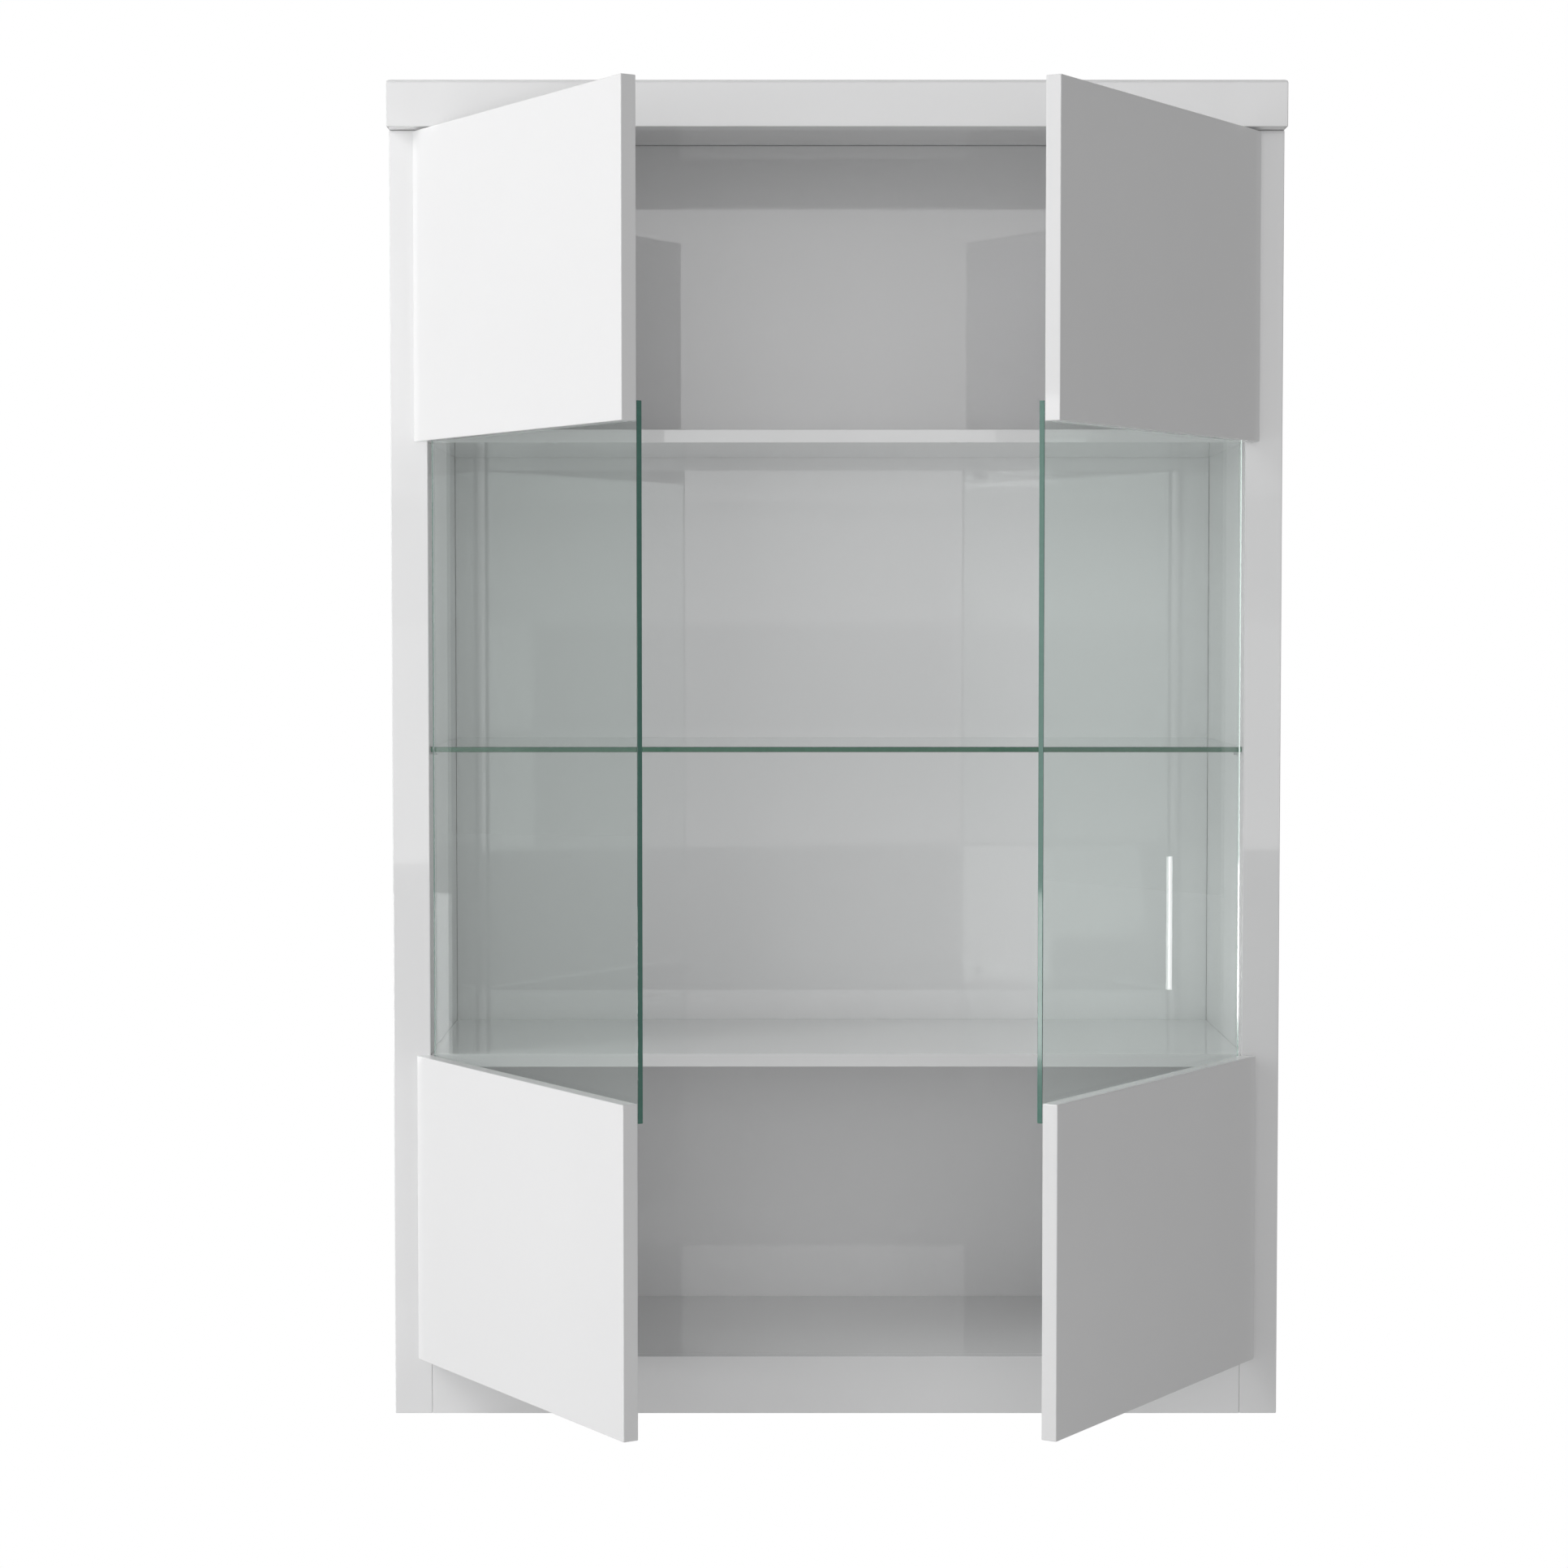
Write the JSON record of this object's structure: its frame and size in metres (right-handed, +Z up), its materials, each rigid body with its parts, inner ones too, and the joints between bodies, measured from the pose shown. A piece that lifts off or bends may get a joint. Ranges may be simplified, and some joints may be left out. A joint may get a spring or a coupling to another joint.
{
  "type": "display cabinet",
  "caption": "Free-standing white display cabinet with two hinged doors that hold clear panes, a thick cap and sides, wooden shelves and a glass shelf.",
  "frame": {"origin": "on the floor, under the middle of the carcass's footprint", "axes": "+X along the width towards the right-hand door, -Y out of the front where the doors are, +Z up"},
  "size_m": [1.1, 0.8477, 1.648],
  "materials": {
    "back_panel": "fibreboard in white high-gloss lacquer",
    "bottom_panel": "fibreboard in white high-gloss lacquer",
    "bottom_support": "fibreboard in white high-gloss lacquer",
    "front_plinth": "fibreboard in white high-gloss lacquer",
    "glass_shelf": "clear float glass with a green edge, polished",
    "left_door_glass": "clear float glass with a green edge, polished",
    "left_door_lower_panel": "fibreboard in white high-gloss lacquer",
    "left_door_upper_panel": "fibreboard in white high-gloss lacquer",
    "left_hinge_1_arm": "nickel-plated steel",
    "left_hinge_1_cup": "nickel-plated steel",
    "left_hinge_1_pin": "nickel-plated steel",
    "left_hinge_1_plate": "nickel-plated steel",
    "left_hinge_2_arm": "nickel-plated steel",
    "left_hinge_2_cup": "nickel-plated steel",
    "left_hinge_2_pin": "nickel-plated steel",
    "left_hinge_2_plate": "nickel-plated steel",
    "left_hinge_3_arm": "nickel-plated steel",
    "left_hinge_3_cup": "nickel-plated steel",
    "left_hinge_3_pin": "nickel-plated steel",
    "left_hinge_3_plate": "nickel-plated steel",
    "left_hinge_4_arm": "nickel-plated steel",
    "left_hinge_4_cup": "nickel-plated steel",
    "left_hinge_4_pin": "nickel-plated steel",
    "left_hinge_4_plate": "nickel-plated steel",
    "left_pane_screw_lower_free": "nickel-plated steel",
    "left_pane_screw_lower_hinge": "nickel-plated steel",
    "left_pane_screw_upper_free": "nickel-plated steel",
    "left_pane_screw_upper_hinge": "nickel-plated steel",
    "left_shelf_pin_back": "nickel-plated steel",
    "left_shelf_pin_front": "nickel-plated steel",
    "left_side_panel": "fibreboard in white high-gloss lacquer",
    "lower_shelf": "fibreboard in white high-gloss lacquer",
    "right_door_glass": "clear float glass with a green edge, polished",
    "right_door_lower_panel": "fibreboard in white high-gloss lacquer",
    "right_door_upper_panel": "fibreboard in white high-gloss lacquer",
    "right_hinge_1_arm": "nickel-plated steel",
    "right_hinge_1_cup": "nickel-plated steel",
    "right_hinge_1_pin": "nickel-plated steel",
    "right_hinge_1_plate": "nickel-plated steel",
    "right_hinge_2_arm": "nickel-plated steel",
    "right_hinge_2_cup": "nickel-plated steel",
    "right_hinge_2_pin": "nickel-plated steel",
    "right_hinge_2_plate": "nickel-plated steel",
    "right_hinge_3_arm": "nickel-plated steel",
    "right_hinge_3_cup": "nickel-plated steel",
    "right_hinge_3_pin": "nickel-plated steel",
    "right_hinge_3_plate": "nickel-plated steel",
    "right_hinge_4_arm": "nickel-plated steel",
    "right_hinge_4_cup": "nickel-plated steel",
    "right_hinge_4_pin": "nickel-plated steel",
    "right_hinge_4_plate": "nickel-plated steel",
    "right_pane_screw_lower_free": "nickel-plated steel",
    "right_pane_screw_lower_hinge": "nickel-plated steel",
    "right_pane_screw_upper_free": "nickel-plated steel",
    "right_pane_screw_upper_hinge": "nickel-plated steel",
    "right_shelf_pin_back": "nickel-plated steel",
    "right_shelf_pin_front": "nickel-plated steel",
    "right_side_panel": "fibreboard in white high-gloss lacquer",
    "top_panel": "fibreboard in white high-gloss lacquer",
    "upper_shelf": "fibreboard in white high-gloss lacquer"
  },
  "bodies": {
    "cabinet": {"back_panel": "back_panel", "bottom_panel": "bottom_panel", "bottom_support": "bottom_support", "front_plinth": "front_plinth", "glass_shelf": "glass_shelf", "left_hinge_1_arm": "left_hinge_1_arm", "left_hinge_1_plate": "left_hinge_1_plate", "left_hinge_2_arm": "left_hinge_2_arm", "left_hinge_2_plate": "left_hinge_2_plate", "left_hinge_3_arm": "left_hinge_3_arm", "left_hinge_3_plate": "left_hinge_3_plate", "left_hinge_4_arm": "left_hinge_4_arm", "left_hinge_4_plate": "left_hinge_4_plate", "left_shelf_pin_back": "left_shelf_pin_back", "left_shelf_pin_front": "left_shelf_pin_front", "left_side_panel": "left_side_panel", "lower_shelf": "lower_shelf", "right_hinge_1_arm": "right_hinge_1_arm", "right_hinge_1_plate": "right_hinge_1_plate", "right_hinge_2_arm": "right_hinge_2_arm", "right_hinge_2_plate": "right_hinge_2_plate", "right_hinge_3_arm": "right_hinge_3_arm", "right_hinge_3_plate": "right_hinge_3_plate", "right_hinge_4_arm": "right_hinge_4_arm", "right_hinge_4_plate": "right_hinge_4_plate", "right_shelf_pin_back": "right_shelf_pin_back", "right_shelf_pin_front": "right_shelf_pin_front", "right_side_panel": "right_side_panel", "top_panel": "top_panel", "upper_shelf": "upper_shelf"},
    "left_door": {"left_door_glass": "left_door_glass", "left_door_lower_panel": "left_door_lower_panel", "left_door_upper_panel": "left_door_upper_panel", "left_hinge_1_cup": "left_hinge_1_cup", "left_hinge_1_pin": "left_hinge_1_pin", "left_hinge_2_cup": "left_hinge_2_cup", "left_hinge_2_pin": "left_hinge_2_pin", "left_hinge_3_cup": "left_hinge_3_cup", "left_hinge_3_pin": "left_hinge_3_pin", "left_hinge_4_cup": "left_hinge_4_cup", "left_hinge_4_pin": "left_hinge_4_pin", "left_pane_screw_lower_free": "left_pane_screw_lower_free", "left_pane_screw_lower_hinge": "left_pane_screw_lower_hinge", "left_pane_screw_upper_free": "left_pane_screw_upper_free", "left_pane_screw_upper_hinge": "left_pane_screw_upper_hinge"},
    "right_door": {"right_door_glass": "right_door_glass", "right_door_lower_panel": "right_door_lower_panel", "right_door_upper_panel": "right_door_upper_panel", "right_hinge_1_cup": "right_hinge_1_cup", "right_hinge_1_pin": "right_hinge_1_pin", "right_hinge_2_cup": "right_hinge_2_cup", "right_hinge_2_pin": "right_hinge_2_pin", "right_hinge_3_cup": "right_hinge_3_cup", "right_hinge_3_pin": "right_hinge_3_pin", "right_hinge_4_cup": "right_hinge_4_cup", "right_hinge_4_pin": "right_hinge_4_pin", "right_pane_screw_lower_free": "right_pane_screw_lower_free", "right_pane_screw_lower_hinge": "right_pane_screw_lower_hinge", "right_pane_screw_upper_free": "right_pane_screw_upper_free", "right_pane_screw_upper_hinge": "right_pane_screw_upper_hinge"}
  },
  "joints": [
    {"name": "left_door_hinge", "type": "hinge", "parent": "cabinet", "child": "left_door", "pos_m": [-0.504, -0.218, 0.8295], "axis": [0, 0, -1], "range_deg": [-57.7, 52.3]},
    {"name": "right_door_hinge", "type": "hinge", "parent": "cabinet", "child": "right_door", "pos_m": [0.504, -0.218, 0.8295], "axis": [0, 0, 1], "range_deg": [-57.1, 52.9]}
  ]
}
